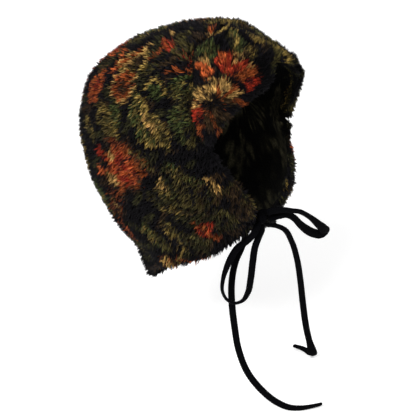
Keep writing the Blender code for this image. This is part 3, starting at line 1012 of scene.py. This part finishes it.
def clothFrom(node, name, panel, material, levels):
    # the solid made finer, let down under its pile, pleated and draped
    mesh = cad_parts[node].data.copy()
    piece = bpy.data.objects.new(name, mesh)
    mesh.name = name
    bpy.context.collection.objects.link(piece)
    activate(piece)
    bpy.ops.object.mode_set(mode="EDIT")
    bpy.ops.mesh.select_all(action="SELECT")
    bpy.ops.mesh.remove_doubles(threshold=0.00002)
    bpy.ops.mesh.tris_convert_to_quads()
    bpy.ops.object.mode_set(mode="OBJECT")
    keepSeams(piece, node)
    finer = piece.modifiers.new("finer", "SUBSURF")
    finer.levels = finer.render_levels = levels
    bpy.ops.object.modifier_apply(modifier=finer.name)
    mesh = piece.data
    points, normals = meshPoints(mesh), meshNormals(mesh)
    outer = outwardShare(points, normals)
    facing = 2 * outer - 1  # 1 outside and -1 inside, so that both walls move the same way
    sag = ripple(points, clothValues["sagSize"], 5) * clothValues["sag"]
    lift = -clothValues["pileDepth"][panel] * outer + sag * facing
    reach = clothValues["seamReach"]
    if panel == "brim":
        lift += pleatLift(points) * facing * mm
    else:
        low, fade = clothValues["stepFades"]
        atBrim = 1 - seamDistance(points, node, reach, ["brim_panel"]) / reach
        atBrim *= np.clip((points[:, 2] - low) / fade, 0, 1)
        lift -= clothValues["brimStep"] * outer * atBrim
    # at a seam both panels move straight in or out, and so stay together
    seam = np.clip(1.2 - seamDistance(points, node, reach) / clothValues["seamBlend"], 0, 1)[:, None]
    straight = unit(points - outCentre(points))
    straight[np.abs(points[:, 0]) < 0.5 * mm, 0] = 0
    straight *= np.where((normals * straight).sum(1) < 0, -1, 1)[:, None]
    points += unit(normals * (1 - seam) + straight * seam) * lift[:, None]
    points = draped(points)
    mesh.vertices.foreach_set("co", points.astype(np.float32).ravel())
    mesh.update()
    colour = printColour(points, combWay(points, normals, panel), panel)
    # painted shade: the inside walls take a darker, dull copy of the print
    liningShaded = colour.mean(1)[:, None] * np.array(clothValues["liningShadedInk"])
    colour = liningShaded + (colour - liningShaded) * outer[:, None]
    addInk(mesh, colour)
    mesh.materials.clear()
    mesh.materials.append(material)
    mesh.shade_smooth()
    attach(piece, "root")
    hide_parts(node)
    return piece


backing = clothMaterial()
clothRight = clothFrom("hood_right", "clothRight", "hood", backing, 1)
clothLeft = clothFrom("hood_left", "clothLeft", "hood", backing, 1)
clothBrim = clothFrom("brim_panel", "clothBrim", "brim", backing, 2)
print("cloth made")


# Pile: locks of fibre, each a closed spike, leaning together in tufts

pileValues = {
    "locks": 44500,  # in each piece of pile
    "gloss": 0.08,
    "roughness": 0.7,
    # painted shade at the roots of the locks, and painted highlight at their tips
    "rootShade": 0.08,
    "tipPaintedHighlight": 1.55,
    "lockTones": (0.34, 1.9),
    "tuftTones": (0.6, 1.4),
    "tuftTall": (0.75, 1.2),  # shares of the length, from tuft to tuft
    "lockTall": (0.75, 1.15),  # and from lock to lock
    "lockWide": (0.7, 1.25),
    "domed": (1.1, 0.5),  # a tuft's middle locks are longer than its outer ones
    "edgeTall": 0.35,  # what is left of the length on the turned edges
    "gatherSpread": (0.6, 1.1),
    "stray": 0.2,
    "sunk": 0.4 * mm,
    "seamReach": 4.5 * mm,  # the pile is clipped short along the seams, and on the hood darker there as painted shade
    "pleatShade": 0.25,  # the valleys of the pleats lie in shade
    "mapCells": 216,  # locks in a row of the pile's map
    "hood": {
        "length": 6.6 * mm,
        "width": 0.95 * mm,
        "tuft": 3.4 * mm,
        "lean": 0.95,
        "tuftLean": 0.55,
        "gather": 0.78,
    },
    "brim": {
        "length": 5.8 * mm,
        "width": 0.66 * mm,
        "tuft": 3.0 * mm,
        "lean": 1.15,
        "tuftLean": 0.38,
        "gather": 0.5,
    },
}
# the cloths sewn to each cloth, and how much of the pile is clipped there, and on the hood darkened as
# painted shade
besideRight = ((clothBrim, 0.85), (clothLeft, 0.5))
besideLeft = ((clothBrim, 0.85), (clothRight, 0.5))
besideBrim = ((clothRight, 0.75), (clothLeft, 0.75))


def pileMaterial():
    material = bpy.data.materials.new("floralPlushPile")
    material.use_nodes = True
    tree = material.node_tree
    shader = tree.nodes["Principled BSDF"]
    shader.inputs["Roughness"].default_value = pileValues["roughness"]
    shader.inputs["Specular IOR Level"].default_value = pileValues["gloss"]
    ink = addNode(material, "ShaderNodeAttribute", attribute_name="ink")
    tree.links.new(ink.outputs["Color"], shader.inputs["Base Color"])
    return material


def rootsOn(piece, count, seed, keep):
    mesh = piece.data
    mesh.calc_loop_triangles()
    corners = np.empty(len(mesh.loop_triangles) * 3, np.int32)
    mesh.loop_triangles.foreach_get("vertices", corners)
    corners = corners.reshape(-1, 3)
    points, normals = meshPoints(mesh), meshNormals(mesh)
    places = points[corners]
    middle = places.mean(1)
    area = np.linalg.norm(np.cross(places[:, 1] - places[:, 0], places[:, 2] - places[:, 0]), axis=1)
    share = outwardShare(points, normals)[corners].mean(1)
    weight = area * keep(middle, share)
    rng = np.random.default_rng(seed)
    pick = rng.choice(len(corners), count, p=weight / weight.sum())
    split = rng.random((count, 2))
    split[split.sum(1) > 1] = 1 - split[split.sum(1) > 1]
    parts = np.column_stack([1 - split.sum(1), split])[:, :, None]
    return (places[pick] * parts).sum(1), unit((normals[corners[pick]] * parts).sum(1)), rng


def tuftOf(roots, rng, size):
    # each lock's tuft, as the number of the nearest of a thinned set of roots
    spots = roots[rng.permutation(len(roots))]
    cells = np.floor(spots / (size * 0.8)).astype(int)
    _, first = np.unique(cells, axis=0, return_index=True)
    centres = spots[np.sort(first)]
    tree = KDTree(len(centres))
    for number, place in enumerate(centres):
        tree.insert(place, number)
    tree.balance()
    return centres, np.array([tree.find(root)[1] for root in roots])


def seamShare(roots, beside):
    # how much of the pile is left: less along a seam with another panel
    share = np.ones(len(roots))
    reach = pileValues["seamReach"]
    for other, clipped in beside:
        far = distanceTo(other.data, roots, reach)
        share = np.minimum(share, 1 - clipped * (1 - far / reach))
    return share


def growPile(name, piece, beside, material, seed, keep, panel="hood"):
    count, own = pileValues["locks"], pileValues[panel]
    (middleTall, outerLess), edgeTall = pileValues["domed"], pileValues["edgeTall"]
    roots, normals, rng = rootsOn(piece, count, seed, keep)
    centres, tuft = tuftOf(roots, rng, own["tuft"])
    comb = combWay(roots, normals, panel)
    tuftTall = rng.uniform(*pileValues["tuftTall"], len(centres))
    tuftTint = rng.uniform(*pileValues["tuftTones"], len(centres))
    tuftLean = unit(rng.normal(size=(len(centres), 3)))
    seam = seamShare(roots, beside)
    apart = np.linalg.norm(roots - centres[tuft], axis=1) / own["tuft"]
    tall = own["length"] * tuftTall[tuft] * rng.uniform(*pileValues["lockTall"], count)
    tall *= middleTall - outerLess * np.minimum(apart, 1)
    tall *= seam * (edgeTall + (1 - edgeTall) * outwardShare(roots, normals))
    lean = comb * own["lean"] + tuftLean[tuft] * own["tuftLean"]
    lean += rng.normal(size=(count, 3)) * pileValues["stray"]
    way = unit(normals + lean * seam[:, None])
    ends = roots + way * tall[:, None]
    tuftEnd = np.zeros_like(centres)
    np.add.at(tuftEnd, tuft, ends)
    tuftEnd /= np.maximum(np.bincount(tuft, minlength=len(centres)), 1)[:, None]
    pulled = (tuftEnd[tuft] - ends) * own["gather"]
    tips = ends + pulled * rng.uniform(*pileValues["gatherSpread"], count)[:, None]
    roots = roots - normals * pileValues["sunk"]
    axis = unit(tips - roots)
    side = unit(np.cross(axis, normals + 0.01))
    other = np.cross(axis, side)
    spin = rng.uniform(0, 2 * math.pi, count)
    wide = own["width"] * rng.uniform(*pileValues["lockWide"], count) / 2
    ring = []
    for k in range(3):
        turn = spin + k * 2 * math.pi / 3
        ring.append(roots + (side * np.cos(turn)[:, None] + other * np.sin(turn)[:, None]) * wide[:, None])
    vertices = np.stack([*ring, tips], 1).reshape(-1, 3)
    base = np.arange(count)[:, None] * 4
    faces = np.concatenate([base + np.array(f) for f in ((0, 2, 1), (0, 1, 3), (1, 2, 3), (2, 0, 3))], 1)
    faces = faces.reshape(-1, 3)
    low, high = pileValues["lockTones"]
    tone = low * (high / low) ** rng.random(count) * tuftTint[tuft]
    if panel == "brim":
        tone *= np.clip(1 + pileValues["pleatShade"] * pleatLift(roots), 0.4, 1.5)
    else:
        # painted shade: the hood's pile darker along its seams, in the groove there
        tone *= seam
    tint = printColour(roots, comb, panel, seed + 100) * tone[:, None]
    colour = np.repeat(tint[:, None], 4, 1)
    # painted shade deep in the pile at the roots, painted highlight on the tips
    colour[:, :3] *= pileValues["rootShade"]
    colour[:, 3] *= pileValues["tipPaintedHighlight"]
    return lockMesh(name, vertices, faces, colour.reshape(-1, 3), material)


def lockMesh(name, vertices, faces, colour, material):
    mesh = bpy.data.meshes.new(name)
    mesh.vertices.add(len(vertices))
    mesh.vertices.foreach_set("co", vertices.astype(np.float32).ravel())
    mesh.loops.add(faces.size)
    mesh.loops.foreach_set("vertex_index", faces.astype(np.int32).ravel())
    mesh.polygons.add(len(faces))
    mesh.polygons.foreach_set("loop_start", np.arange(0, faces.size, 3, dtype=np.int32))
    mesh.update(calc_edges=True)
    addInk(mesh, colour)
    # every lock has a square of its own on the map
    lock, cells = faces // 4, pileValues["mapCells"]
    corner = np.array([(0.1, 0.1), (0.9, 0.1), (0.5, 0.1), (0.5, 0.9)])[faces % 4]
    places = (np.stack([lock % cells, lock // cells], -1) + corner) / cells
    uv = mesh.uv_layers.new(name="OFBake")
    uv.uv.foreach_set("vector", places.astype(np.float32).ravel())
    mesh.materials.append(material)
    mesh.shade_smooth()
    piece = bpy.data.objects.new(name, mesh)
    bpy.context.collection.objects.link(piece)
    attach(piece, "root")
    return piece


halfWay = 5 * mm  # the front pieces of pile end here, and the back ones begin


def inFront(middle, share):
    return (share > 0.3) * (middle[:, 1] < halfWay)


def atBack(middle, share):
    return (share > 0.3) * (middle[:, 1] >= halfWay)


def bothWalls(middle, share):
    return 0.35 + 0.65 * (share > 0.3)  # thinner on the inside


pile = pileMaterial()
growPile("pileRightFront", clothRight, besideRight, pile, 1, inFront)
growPile("pileRightBack", clothRight, besideRight, pile, 2, atBack)
growPile("pileLeftFront", clothLeft, besideLeft, pile, 3, inFront)
growPile("pileLeftBack", clothLeft, besideLeft, pile, 4, atBack)
growPile("pileBrim", clothBrim, besideBrim, pile, 5, bothWalls, "brim")
print("pile made")
